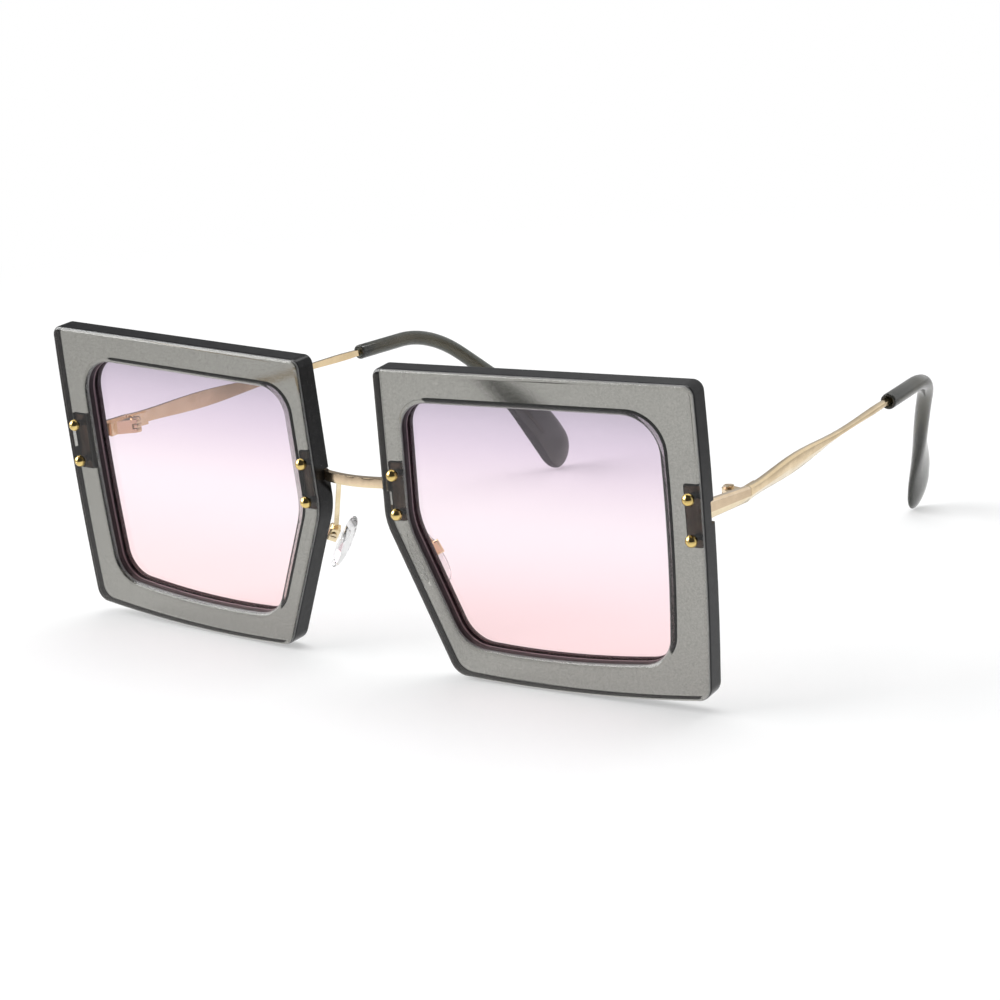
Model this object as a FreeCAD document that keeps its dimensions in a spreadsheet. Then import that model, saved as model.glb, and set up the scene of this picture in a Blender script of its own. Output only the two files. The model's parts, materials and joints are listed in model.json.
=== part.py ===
"""Oversized square sunglasses, modelled piece by piece.

Row frame: +Z up, the lenses face -Y, the temples run back along +Y, +X is the wearer's left.
The open glasses stand on Z = 0 on the feet of both rims and the ends of both temple tips.
Every left-hand piece is modelled once and mirrored in the plane X = 0.
"""
import FreeCAD, Part
import math
import os
import re
import Sketcher
from FreeCAD import Placement, Rotation, Vector

# Driving sizes, in millimetres and degrees
SIZES = {
    # front: how the two rims stand to each other
    "bridge_half_gap": 8.35,
    "wrap_angle": 3.4,
    "lean_angle": 4.36,
    # rim outline, from its upper nasal corner and the level of the bridge
    "rim_width": 66.8,
    "rim_rise": 24.3,
    "nasal_top_draw": 0.4,
    "top_slope": 1.0,
    "foot_drop": 35.6,
    "foot_inset": 11.55,
    "knee_drop": 5.8,
    "knee_lap": 0.6,
    "temple_foot_drop": 33.95,
    "temple_foot_draw": 1.35,
    "temple_side_bow": 0.75,
    "bottom_bow": 1.3,
    "rim_thickness": 4.8,
    "nasal_corner_radius": 1.8,
    "knee_radius": 12.0,
    "foot_radius": 4.0,
    "temple_foot_radius": 3.0,
    "temple_corner_radius": 2.0,
    "front_round": 0.9,
    "back_round": 0.5,
    # lens opening: widths of the rim's bands and its corners
    "top_band": 6.4,
    "temple_band": 7.9,
    "bottom_band": 6.4,
    "nasal_band": 5.5,
    "opening_nasal_radius": 5.5,
    "opening_knee_radius": 14.0,
    "opening_foot_radius": 7.0,
    "opening_temple_foot_radius": 6.0,
    "opening_temple_radius": 7.0,
    "opening_round": 1.2,
    # lens and its groove
    "front_lip": 2.2,
    "groove_depth": 0.7,
    "lens_thickness": 1.5,
    "lens_clearance": 0.05,
    # recesses in the rim's back, with the plates and rivets that fill them
    "recess_height": 11.6,
    "recess_width": 3.7,
    "recess_depth": 1.5,
    "nasal_seat_drop": 0.25,
    "end_piece_rise": 0.6,
    "plate_thickness": 1.1,
    "plate_clearance": 0.1,
    "plate_corner": 0.8,
    "rivet_inset": 2.45,
    "rivet_spacing": 7.7,
    "rivet_shank": 1.2,
    "rivet_head": 2.4,
    "rivet_dome": 1.1,
    "rivet_tail": 1.9,
    "rivet_clearance": 0.04,
    # bridge strip between the rims
    "bridge_height": 1.95,
    "bridge_rise": 0.8,
    "bridge_thickness": 1.1,
    "bridge_bow": 0.95,
    "bridge_bend_inset": 1.45,
    "bridge_elbow_inset": 0.35,
    "bridge_set_forward": 0.75,
    "bridge_lap": 1.9,
    "notch_clearance": 0.2,
    # nose pads: arm, box, core, screw and pad
    "arm_root_inset": 4.5,
    "arm_width": 0.9,
    "arm_thickness": 0.7,
    "arm_lead": 1.0,
    "arm_bend_radius": 1.5,
    "solder_depth": 0.15,
    "pad_reach": 10.85,
    "pad_behind": 10.75,
    "pad_below": 14.75,
    "pad_splay_angle": 131.0,
    "pad_tilt_angle": 27.0,
    "pad_roll_angle": 18.5,
    "pad_drop": 0.1,
    "pad_shift": 1.1,
    "pad_length": 13.0,
    "pad_width": 5.4,
    "pad_thickness": 2.4,
    "pad_narrowing": 0.7,
    "pad_round": 0.9,
    "core_length": 5.0,
    "core_width": 2.2,
    "core_thickness": 0.7,
    "stem_height": 1.3,
    "stem_width": 1.1,
    "stem_end": 0.6,
    "stem_clearance": 0.1,
    "box_height": 2.8,
    "box_width": 2.1,
    "box_depth": 2.2,
    "box_wall": 0.4,
    "box_standoff": 0.3,
    "box_corner": 0.6,
    "pad_pivot": 2.45,
    "pad_screw": 0.7,
    "pad_screw_head": 1.3,
    "pad_screw_cap": 0.35,
    # end piece: bevelled bar from the rim back to the hinge
    "bar_front_height": 3.7,
    "bar_end_height": 2.9,
    "bar_thickness": 1.3,
    "bar_length": 13.5,
    "bar_offset": 0.95,
    "bar_flare": 1.2,
    "bar_rise": 0.3,
    "bar_front_rise": 0.2,
    # hinge: leaves, knuckles and screw
    "pin_inset": 2.95,
    "pin_forward": 0.66,
    "split_gap": 0.25,
    "knuckle_radius": 1.25,
    "knuckle_stack": 2.8,
    "tongue_height": 0.9,
    "tongue_clearance": 0.08,
    "leaf_length": 5.4,
    "leaf_thickness": 0.65,
    "leaf_turn": 3.5,
    "temple_leaf_length": 4.4,
    "temple_leaf_height": 2.7,
    "temple_leaf_start": 1.3,
    "hinge_screw": 1.2,
    "hinge_screw_head": 2.0,
    "hinge_screw_cap": 0.35,
    "hinge_slot": 0.4,
    "running_clearance": 0.05,
    # temple blade and its wire
    "toe_in_angle": 6.0,
    "temple_rise_angle": 0.23,
    "blade_length": 52.0,
    "neck_height": 2.5,
    "blade_height": 3.5,
    "blade_thickness": 1.0,
    "wire_width": 1.2,
    "core_wire": 1.1,
    # temple tip
    "mouth_distance": 71.2,
    "sleeve_run": 14.2,
    "bend_radius": 23.0,
    "hook_turn_angle": 25.2,
    "hook_pitch_angle": 37.8,
    "tail_radius": 92.0,
    "tip_lift": 0.32,
    "tip_diameter": 3.3,
    "paddle_width": 11.0,
    "paddle_thickness": 2.8,
    "paddle_twist_angle": 26.5,
    "paddle_offset": 0.9,
    "core_stop": 9.0,
    # one overrun for every cut that leaves the solid
    "overrun": 1.0,
}

# Shares, chosen by hand
BEVEL_SHARE = 0.40          # lower bevel of a blade section, of its height
BEVEL_DEPTH_SHARE = 0.55    # the same bevel, of its thickness
CROWN_SHARE = 0.13          # upper bevel, of the height
CROWN_DEPTH_SHARE = 0.35    # upper bevel, of the thickness
ROUND_END_SHARE = 0.96      # height of a round end, of its half width: just short of a half circle

os.makedirs("parts", exist_ok=True)
doc = FreeCAD.newDocument("Sunglasses")
sheet = doc.addObject("Spreadsheet::Sheet", "Sizes")
for row, (alias, number) in enumerate(SIZES.items(), start=1):
    sheet.set("A%d" % row, alias)
    sheet.set("B%d" % row, str(number))
    sheet.setAlias("B%d" % row, alias)
doc.recompute()

X_AXIS, Y_AXIS, Z_AXIS = Vector(1, 0, 0), Vector(0, 1, 0), Vector(0, 0, 1)


def value(text):
    """Number that an expression in the sheet's names gives."""
    return float(sheet.evalExpression(text))


def linked(text):
    """The same expression, as another object of the document has to write it."""
    return re.sub(r"[a-z_]+", lambda word: "Sizes." + word[0] if word[0] in SIZES else word[0], text)


def bind(thing, slot, text):
    thing.setExpression(slot, linked(text))


def new_body(name):
    return doc.addObject("PartDesign::Body", name)


def new_sketch(body, name, plane, offset="0"):
    """Sketch on one of the body's origin planes, moved along the plane's normal by an expression."""
    sketch = body.newObject("Sketcher::SketchObject", name)
    support = [feature for feature in body.Origin.OriginFeatures if feature.Role == plane][0]
    sketch.AttachmentSupport = (support, [""])
    sketch.MapMode = "FlatFace"
    bind(sketch, "AttachmentOffset.Base.z", offset)
    return sketch


def fix_point(sketch, geometry, point, place):
    """Dimension one point of a sketch from the sketch's origin."""
    for kind, text in zip(("DistanceX", "DistanceY"), place):
        number = sketch.addConstraint(Sketcher.Constraint(kind, -1, 1, geometry, point, value(text)))
        bind(sketch, "Constraints[%d]" % number, text)


def draw_outline(sketch, corners, bows=None):
    """Closed outline through corners given as expressions; bows maps an edge to its arc's height."""
    bows = bows or {}
    points = [Vector(value(x), value(y), 0) for x, y in corners]
    ends = []
    for index, start in enumerate(points):
        after = (index + 1) % len(points)
        stop = points[after]
        if index not in bows:
            edge = sketch.addGeometry(Part.LineSegment(start, stop))
            ends.append((edge, 1, 2))
            continue
        bow = value(bows[index])
        outward = (stop - start).cross(Z_AXIS).normalize()
        crest = (start + stop) * 0.5 + outward * bow
        arc = Part.Arc(start, crest, stop) if bow > 0 else Part.Arc(stop, crest, start)
        edge = sketch.addGeometry(arc)
        ends.append((edge, 1, 2) if bow > 0 else (edge, 2, 1))
        (x_one, y_one), (x_two, y_two) = corners[index], corners[after]
        chord = "((%s) - (%s))^2 + ((%s) - (%s))^2" % (x_two, x_one, y_two, y_one)
        radius = "(%s) / (8 * abs(%s)) + abs(%s) / 2" % (chord, bows[index], bows[index])
        number = sketch.addConstraint(Sketcher.Constraint("Radius", edge, value(radius)))
        bind(sketch, "Constraints[%d]" % number, radius)
    for index, (edge, first, last) in enumerate(ends):
        follower, its_first, its_last = ends[(index + 1) % len(ends)]
        sketch.addConstraint(Sketcher.Constraint("Coincident", edge, last, follower, its_first))
        fix_point(sketch, edge, first, corners[index])


def draw_box(sketch, low_x, low_y, high_x, high_y):
    draw_outline(sketch, [(low_x, low_y), (high_x, low_y), (high_x, high_y), (low_x, high_y)])


def draw_circle(sketch, centre, diameter):
    number = sketch.addGeometry(Part.Circle(Vector(value(centre[0]), value(centre[1]), 0), Z_AXIS,
                                            value(diameter) / 2))
    fix_point(sketch, number, 3, centre)
    size = sketch.addConstraint(Sketcher.Constraint("Diameter", number, value(diameter)))
    bind(sketch, "Constraints[%d]" % size, diameter)


def add_pad(body, name, sketch, length, symmetric=False, reverse=False):
    pad = body.newObject("PartDesign::Pad", name)
    pad.Profile = sketch
    pad.SideType = "Symmetric" if symmetric else "One side"
    pad.Reversed = reverse
    bind(pad, "Length", length)
    doc.recompute()
    return pad


def add_pocket(body, name, sketch, length, symmetric=False, reverse=False):
    """Pocket that has to remove something."""
    before = body.Shape.Volume
    pocket = body.newObject("PartDesign::Pocket", name)
    pocket.Profile = sketch
    pocket.SideType = "Symmetric" if symmetric else "One side"
    pocket.Reversed = reverse
    bind(pocket, "Length", length)
    doc.recompute()
    if not pocket.Shape.Volume < before:
        raise ValueError(name + " cuts nothing")
    return pocket


def edge_names(shape, wanted):
    return ["Edge%d" % (index + 1) for index, edge in enumerate(shape.Edges) if wanted(edge)]


def add_fillet(body, name, base, wanted, radius, kind="PartDesign::Fillet"):
    """Round (or chamfer) every edge of the base feature that wanted() picks."""
    names = edge_names(base.Shape, wanted)
    if not names:
        raise ValueError(name + " finds no edge")
    rounding = body.newObject(kind, name)
    rounding.Base = (base, names)
    bind(rounding, "Radius" if kind.endswith("Fillet") else "Size", radius)
    doc.recompute()
    return rounding


NEAR = 1e-4


def upright_at(corner):
    """Test for an edge along the depth axis that stands on one corner of an XZ outline."""
    x, z = value(corner[0]), value(corner[1])

    def wanted(edge):
        return all(abs(v.X - x) < NEAR and abs(v.Z - z) < NEAR for v in edge.Vertexes)
    return wanted


def in_depth(depth):
    """Test for an edge that lies in the plane at one depth."""
    return lambda edge: abs(edge.BoundBox.YMin - depth) < NEAR and abs(edge.BoundBox.YMax - depth) < NEAR


def not_in(shape):
    """Test for an edge that an earlier shape did not have."""
    known = [edge.CenterOfMass for edge in shape.Edges]
    return lambda edge: all(edge.CenterOfMass.distanceToPoint(point) > NEAR for point in known)


# Outline of the rim, counter-clockwise from the upper nasal corner
RIM_CORNERS = [("nasal_top_draw", "rim_rise"), ("-knee_lap", "-knee_drop"), ("foot_inset", "-foot_drop"),
               ("rim_width - temple_foot_draw", "-temple_foot_drop"), ("rim_width", "rim_rise + top_slope")]
RIM_RADII = ["nasal_corner_radius", "knee_radius", "foot_radius",
             "temple_foot_radius", "temple_corner_radius"]
OPENING_RADII = ["opening_nasal_radius", "opening_knee_radius", "opening_foot_radius",
                 "opening_temple_foot_radius", "opening_temple_radius"]
RIM_BOWS = {2: "bottom_bow", 3: "temple_side_bow"}


def opening_corners(margin):
    """Corners of the lens opening, parallel to the rim's outline inside its bands."""
    slope = "(foot_inset + knee_lap) / (foot_drop - knee_drop)"
    foot_level = "(bottom_band - (%s))" % margin
    foot_inset = "foot_inset - %s * %s + nasal_band" % (foot_level, slope)
    inward = [("nasal_top_draw + nasal_band", "rim_rise - top_band + (%s)" % margin),
              ("nasal_band - knee_lap", "-knee_drop"),
              (foot_inset, "%s - foot_drop" % foot_level)]
    outward = [("rim_width - temple_foot_draw - temple_band", "%s - temple_foot_drop" % foot_level),
               ("rim_width - temple_band", "rim_rise + top_slope - top_band + (%s)" % margin)]
    return ([("%s - (%s)" % (x, margin), z) for x, z in inward]
            + [("%s + (%s)" % (x, margin), z) for x, z in outward])


def round_corners(body, name, base, corners, radii, grow="0"):
    """Round the upright edges of a plate at its outline's corners, one size each."""
    for number, (corner, radius) in enumerate(zip(corners, radii)):
        base = add_fillet(body, "%s_corner_%d" % (name, number), base, upright_at(corner),
                          "%s + %s" % (radius, grow))
    return base


# Where a plate, its recess and its rivets sit on the rim: at the bridge and at the end piece
SEATS = {"nasal": ("rivet_inset", "-nasal_seat_drop"),
         "temple": ("rim_width - rivet_inset", "end_piece_rise")}


def seat_box(sketch, seat, gap):
    """Outline of a recess, or of the plate in it when a gap is left all round."""
    x, z = SEATS[seat]
    half_width = "(recess_width / 2 - %s)" % gap
    half_height = "(recess_height / 2 - %s)" % gap
    draw_box(sketch, x + " - " + half_width, z + " - " + half_height,
             x + " + " + half_width, z + " + " + half_height)


def rivet_places(seat):
    x, z = SEATS[seat]
    return [(x, z + " + rivet_spacing / 2"), (x, z + " - rivet_spacing / 2")]


def make_rim():
    """Thick plate with rounded edges, a grooved opening, and recesses behind the rivets."""
    body = new_body("left_rim")
    outline = new_sketch(body, "rim_outline", "XZ_Plane")
    draw_outline(outline, RIM_CORNERS, RIM_BOWS)
    plate = add_pad(body, "rim_plate", outline, "rim_thickness", reverse=True)
    plate = round_corners(body, "rim", plate, RIM_CORNERS, RIM_RADII)
    plate = add_fillet(body, "rim_front_round", plate, in_depth(0), "front_round")
    plate = add_fillet(body, "rim_back_round", plate, in_depth(value("rim_thickness")), "back_round")
    before = plate.Shape
    hole = new_sketch(body, "opening_outline", "XZ_Plane")
    draw_outline(hole, opening_corners("0"), RIM_BOWS)
    plate = add_pocket(body, "opening", hole, "rim_thickness")
    plate = round_corners(body, "opening", plate, opening_corners("0"), OPENING_RADII)
    fresh, front = not_in(before), in_depth(0)
    plate = add_fillet(body, "opening_front_round", plate, lambda edge: fresh(edge) and front(edge),
                       "opening_round")
    groove = new_sketch(body, "groove_outline", "XZ_Plane", "-front_lip")
    draw_outline(groove, opening_corners("groove_depth"), RIM_BOWS)
    plate = add_pocket(body, "groove", groove, "lens_thickness + 2 * lens_clearance")
    round_corners(body, "groove", plate, opening_corners("groove_depth"), OPENING_RADII, "groove_depth")
    recess = new_sketch(body, "recess_outlines", "XZ_Plane", "recess_depth - rim_thickness")
    for seat in SEATS:
        seat_box(recess, seat, "0")
    add_pocket(body, "recesses", recess, "recess_depth + overrun")
    notch = new_sketch(body, "notch_outlines", "XZ_Plane", "recess_depth - rim_thickness")
    half_strip = "(bridge_height / 2 + notch_clearance)"
    half_bar = "(bar_front_height / 2 + notch_clearance)"
    bar_level = "end_piece_rise + bar_rise + bar_front_rise"
    draw_box(notch, "-knee_lap - overrun", "bridge_rise - " + half_strip,
             "rivet_inset", "bridge_rise + " + half_strip)
    draw_box(notch, "rim_width - rivet_inset", bar_level + " - " + half_bar,
             "rim_width + temple_side_bow + overrun", bar_level + " + " + half_bar)
    add_pocket(body, "notches", notch, "recess_depth + overrun")
    holes = new_sketch(body, "rivet_hole_circles", "XZ_Plane")
    for seat in SEATS:
        for place in rivet_places(seat):
            draw_circle(holes, place, "rivet_shank + 2 * rivet_clearance")
    add_pocket(body, "rivet_holes", holes, "rim_thickness")
    return body


def make_lens():
    """Flat lens whose edge fills the groove."""
    body = new_body("left_lens")
    margin = "groove_depth - lens_clearance"
    outline = new_sketch(body, "lens_outline", "XZ_Plane", "-front_lip - lens_clearance")
    draw_outline(outline, opening_corners(margin), RIM_BOWS)
    plate = add_pad(body, "lens_plate", outline, "lens_thickness", reverse=True)
    round_corners(body, "lens", plate, opening_corners(margin), OPENING_RADII, margin)
    return body


def make_seat_plate(name, seat):
    """Metal plate that fills a recess, with the two rivet holes."""
    body = new_body(name)
    outline = new_sketch(body, name + "_outline", "XZ_Plane", "recess_depth - rim_thickness")
    seat_box(outline, seat, "plate_clearance")
    plate = add_pad(body, name + "_pad", outline, "plate_thickness", reverse=True)
    add_fillet(body, name + "_corners", plate,
               lambda edge: edge.BoundBox.XLength < NEAR and edge.BoundBox.ZLength < NEAR, "plate_corner")
    holes = new_sketch(body, name + "_holes", "XZ_Plane", "recess_depth - rim_thickness")
    for place in rivet_places(seat):
        draw_circle(holes, place, "rivet_shank + 2 * rivet_clearance")
    add_pocket(body, name + "_rivet_holes", holes, "plate_thickness")
    return body


def make_rivet(name, place):
    """Round-headed rivet, its tail flush with the rim's back."""
    body = new_body(name)
    profile = new_sketch(body, name + "_profile", "XY_Plane")
    shank, head, tail = "rivet_shank / 2", "rivet_head / 2", "rivet_tail / 2"
    plate_back = "rim_thickness - recess_depth + plate_thickness"
    crest = "(rivet_head^2 / 4 + rivet_dome^2) / (2 * rivet_dome)"
    draw_outline(profile, [("0", "-rivet_dome"), (head, "0"), (shank, "0"), (shank, plate_back),
                           (tail, plate_back), (tail, "rim_thickness"), ("0", "rim_thickness")],
                 {0: "(%s) - sqrt((%s)^2 - (rivet_head^2 / 4 + rivet_dome^2) / 4)" % (crest, crest)})
    turn = body.newObject("PartDesign::Revolution", name + "_turn")
    turn.Profile = profile
    turn.ReferenceAxis = (profile, ["V_Axis"])
    turn.Angle = 360
    doc.recompute()
    body.Placement = Placement(Vector(value(place[0]), 0, value(place[1])), Rotation())
    return body


def make_bridge_strip():
    """Strip between the rims, bowed forward, bent at both ends to lie along the plates."""
    body = new_body("bridge_strip")
    plan = new_sketch(body, "bridge_plan", "XY_Plane", "bridge_rise")
    bend_x, elbow_x = "(bridge_half_gap - bridge_bend_inset)", "(bridge_half_gap - bridge_elbow_inset)"
    far_x = "(bridge_half_gap + bridge_lap)"
    elbow = "(rim_thickness - recess_depth)"
    far = elbow + " + (bridge_lap + bridge_elbow_inset) * tan(wrap_angle * 1 deg)"
    bend = elbow + " - bridge_set_forward"
    front = [("-" + far_x, far), ("-" + elbow_x, elbow), ("-" + bend_x, bend),
             (bend_x, bend), (elbow_x, elbow), (far_x, far)]
    back = [(x, y + " + bridge_thickness") for x, y in reversed(front)]
    draw_outline(plan, front + back, {2: "bridge_bow", 8: "-bridge_bow"})
    add_pad(body, "bridge_strip_pad", plan, "bridge_height", symmetric=True)
    return body


def blade_section(sketch, centre, thickness, height, rise):
    """Section of end piece and temple: flat inside, broad lower bevel and narrow upper one outside."""
    inner, outer = "%s - (%s) / 2" % (centre, thickness), "%s + (%s) / 2" % (centre, thickness)
    low, high = "%s - (%s) / 2" % (rise, height), "%s + (%s) / 2" % (rise, height)
    draw_outline(sketch, [(inner, low), ("%s - %g * (%s)" % (outer, BEVEL_DEPTH_SHARE, thickness), low),
                          (outer, "%s + %g * (%s)" % (low, BEVEL_SHARE, height)),
                          (outer, "%s - %g * (%s)" % (high, CROWN_SHARE, height)),
                          ("%s - %g * (%s)" % (outer, CROWN_DEPTH_SHARE, thickness), high), (inner, high)])


def loft_sections(body, name, sections):
    """Loft through blade sections given as (distance back, centre, thickness, height, rise)."""
    sketches = []
    for number, (distance, centre, thickness, height, rise) in enumerate(sections):
        sketch = new_sketch(body, "%s_section_%d" % (name, number), "XZ_Plane", "-(%s)" % distance)
        blade_section(sketch, centre, thickness, height, rise)
        sketches.append(sketch)
    doc.recompute()
    loft = body.newObject("PartDesign::AdditiveLoft", name + "_loft")
    loft.Profile = sketches[0]
    loft.Sections = sketches[1:]
    doc.recompute()
    return loft


def make_end_bar():
    """Bevelled bar of the end piece, in the hinge's frame."""
    body = new_body("end_bar")
    centre = "pin_inset + bar_thickness / 2"
    loft_sections(body, "end_bar", [
        ("pin_forward - bar_length", centre + " - bar_flare", "bar_thickness", "bar_front_height",
         "bar_rise + bar_front_rise"),
        ("pin_forward", centre, "bar_thickness", "bar_end_height", "bar_rise")])
    return body


def make_front_leaf():
    """Hinge leaf soldered to the end piece: a foot, then a bracket that turns in and ends in two ears."""
    body = new_body("left_front_hinge_leaf")
    plan = new_sketch(body, "leaf_plan", "XY_Plane")
    tangent_share = math.sqrt(0.5)
    touch = "-knuckle_radius * %g" % tangent_share

    def bar_face(distance):
        return "pin_inset - (pin_forward - (%s)) * bar_flare / bar_length" % distance
    draw_outline(plan, [(bar_face("-leaf_length") + " - leaf_thickness", "-leaf_length"),
                        (bar_face("-leaf_length"), "-leaf_length"),
                        (bar_face("pin_forward - split_gap"), "pin_forward - split_gap"),
                        ("0", "knuckle_radius"), (touch, touch),
                        (bar_face("-leaf_turn") + " - leaf_thickness", "-leaf_turn")])
    add_pad(body, "leaf_block", plan, "knuckle_stack", symmetric=True)
    barrel = new_sketch(body, "leaf_barrel_circle", "XY_Plane")
    draw_circle(barrel, ("0", "0"), "2 * knuckle_radius")
    add_pad(body, "leaf_barrel", barrel, "knuckle_stack", symmetric=True)
    slot = new_sketch(body, "leaf_slot_box", "XY_Plane")
    draw_box(slot, "-knuckle_radius - overrun", "-knuckle_radius - tongue_clearance",
             "pin_inset + overrun", "knuckle_radius + overrun")
    add_pocket(body, "leaf_slot", slot, "tongue_height + 2 * tongue_clearance", symmetric=True)
    bore = new_sketch(body, "leaf_bore_circle", "XY_Plane")
    draw_circle(bore, ("0", "0"), "hinge_screw + 2 * running_clearance")
    add_pocket(body, "leaf_bore", bore, "knuckle_stack + overrun", symmetric=True)
    return body


def make_temple_leaf():
    """Hinge leaf soldered to the temple: a tongue round the screw and a foot on the blade's inner face."""
    body = new_body("left_temple_hinge_leaf")
    plan = new_sketch(body, "tongue_plan", "XY_Plane")
    tail, foot_face = "(temple_leaf_start + temple_leaf_length)", "pin_inset - leaf_thickness"
    draw_outline(plan, [("0", "-knuckle_radius"), ("pin_inset", "pin_forward - split_gap"),
                        ("pin_inset", tail), (foot_face, tail),
                        (foot_face, "temple_leaf_start + leaf_thickness"), ("0", "knuckle_radius")])
    add_pad(body, "tongue_arm", plan, "tongue_height", symmetric=True)
    knuckle = new_sketch(body, "tongue_circle", "XY_Plane")
    draw_circle(knuckle, ("0", "0"), "2 * knuckle_radius")
    add_pad(body, "tongue_knuckle", knuckle, "tongue_height", symmetric=True)
    foot = new_sketch(body, "foot_plan", "XY_Plane")
    draw_box(foot, foot_face, "temple_leaf_start", "pin_inset", tail)
    add_pad(body, "temple_leaf_foot", foot, "temple_leaf_height", symmetric=True)
    bore = new_sketch(body, "tongue_bore_circle", "XY_Plane")
    draw_circle(bore, ("0", "0"), "hinge_screw + 2 * running_clearance")
    add_pocket(body, "tongue_bore", bore, "tongue_height + overrun", symmetric=True)
    return body


def make_screw(name, plane, shank, head, cap, start, length, slot):
    """Slotted screw along one axis: its shank starts below the head's seat."""
    body = new_body(name)
    seat = "(%s + %s)" % (start, length)
    rod = new_sketch(body, name + "_rod", plane, start)
    draw_circle(rod, ("0", "0"), shank)
    add_pad(body, name + "_shank", rod, length)
    top = new_sketch(body, name + "_top", plane, seat)
    draw_circle(top, ("0", "0"), head)
    add_pad(body, name + "_head", top, cap)
    cut = new_sketch(body, name + "_cut", plane, "%s + %s" % (seat, cap))
    draw_box(cut, "-(%s)" % head, "-(%s) / 2" % slot, head, "(%s) / 2" % slot)
    add_pocket(body, name + "_slot", cut, "(%s) / 2" % cap)
    return body


def make_blade():
    """Temple blade: flat inside, bevelled outside, narrow at the neck, broad, then tapering to a wire."""
    body = new_body("temple_blade")
    neck_share, broad_share, waning_share, slim_share = 0.10, 0.38, 0.66, 0.84
    waning_height_share, slim_height_share = 0.66, 1.12
    along = "pin_forward + %g * blade_length"
    mouth = "mouth_distance * cos(temple_rise_angle * 1 deg) - running_clearance"
    stations = [("pin_forward - split_gap", "bar_thickness", "bar_end_height"),
                (along % neck_share, "bar_thickness", "neck_height"),
                (along % broad_share, "blade_thickness", "blade_height"),
                (along % waning_share, "blade_thickness", "blade_height * %g" % waning_height_share),
                (along % slim_share, "(blade_thickness + wire_width) / 2",
                 "wire_width * %g" % slim_height_share),
                (along % 1, "wire_width", "wire_width"),
                (mouth, "wire_width", "wire_width")]
    loft_sections(body, "blade", [
        (distance, "pin_inset + (%s) / 2" % thickness, thickness, height,
         "bar_rise + (%s) * tan(temple_rise_angle * 1 deg)" % distance)
        for distance, thickness, height in stations])
    return body


class TipPath:
    """Line of the tip in the temple's frame: straight, bent down and in, then a long sag to the table."""

    def __init__(self, hinge):
        rise = math.radians(value("temple_rise_angle"))
        turn, pitch = math.radians(value("hook_turn_angle")), math.radians(value("hook_pitch_angle"))
        self.lead = Vector(0, math.cos(rise), math.sin(rise))
        self.heading = Vector(-math.sin(turn), math.cos(turn), 0)
        foot = Vector(value("pin_inset + wire_width / 2"), 0, value("bar_rise"))
        self.origin = foot + self.lead * value("mouth_distance")
        self.root = self.origin - self.lead * value("overrun")
        self.bend_start = foot + self.lead * value("mouth_distance + sleeve_run")
        dive = self.heading * math.cos(pitch) - Z_AXIS * math.sin(pitch)
        self.bend_angle = math.acos(dive.dot(self.lead))
        self.bend_side = (dive - self.lead * dive.dot(self.lead)).normalize()
        self.pitch = pitch
        self.bend_end = self.on_bend(1)
        self.tail_angle = self.landing(hinge) - pitch
        self.tail_length = value("tail_radius") * self.tail_angle

    def landing(self, hinge):
        """Slope at which the tail comes down to the table, in the frame of the temple's hinge."""
        up = hinge.Rotation.inverted().multVec(Z_AXIS)
        height = hinge.Base.z + up.dot(self.bend_end) - value("tip_lift")
        ahead, over = up.dot(self.heading), up.z
        level = ahead * math.sin(self.pitch) + over * math.cos(self.pitch) - height / value("tail_radius")
        return math.acos(level / math.hypot(ahead, over)) + math.atan2(ahead, over)

    def on_bend(self, share):
        angle = self.bend_angle * share
        reach = self.lead * math.sin(angle) + self.bend_side * (1 - math.cos(angle))
        return self.bend_start + reach * value("bend_radius")

    def on_tail(self, share):
        angle = self.pitch + self.tail_angle * share
        run = self.heading * (math.sin(angle) - math.sin(self.pitch))
        fall = Z_AXIS * (math.cos(angle) - math.cos(self.pitch))
        return self.bend_end + (run + fall) * value("tail_radius")

    def tail_direction(self, share):
        angle = self.pitch + self.tail_angle * share
        return self.heading * math.cos(angle) - Z_AXIS * math.sin(angle)

    def sleeve_edges(self, start):
        """Line and bend of the spine."""
        return [Part.LineSegment(start, self.bend_start).toShape(),
                Part.Arc(self.bend_start, self.on_bend(0.5), self.bend_end).toShape()]

    def tail_edge(self, stop):
        """Long sag of the spine, ending short of the tip's end."""
        share = 1 - stop / self.tail_length
        return Part.Arc(self.bend_end, self.on_tail(share / 2), self.on_tail(share)).toShape()


def make_rod(name, path, diameter, start, tail=()):
    """Round rod along the tip's line, from a point on its straight part to the bend's end or beyond."""
    edges = path.sleeve_edges(start) + list(tail)
    spine = doc.addObject("Part::Feature", name + "_spine")
    spine.Shape = Part.Wire(edges)
    section = doc.addObject("Part::Circle", name + "_section")
    bind(section, "Radius", "(%s) / 2" % diameter)
    section.Placement = Placement(start, Rotation(Z_AXIS, path.lead))
    rod = doc.addObject("Part::Sweep", name)
    rod.Sections = [section]
    rod.Spine = (spine, ["Edge%d" % (number + 1) for number in range(len(edges))])
    rod.Solid = True
    rod.Frenet = False
    doc.recompute()
    return rod


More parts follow.
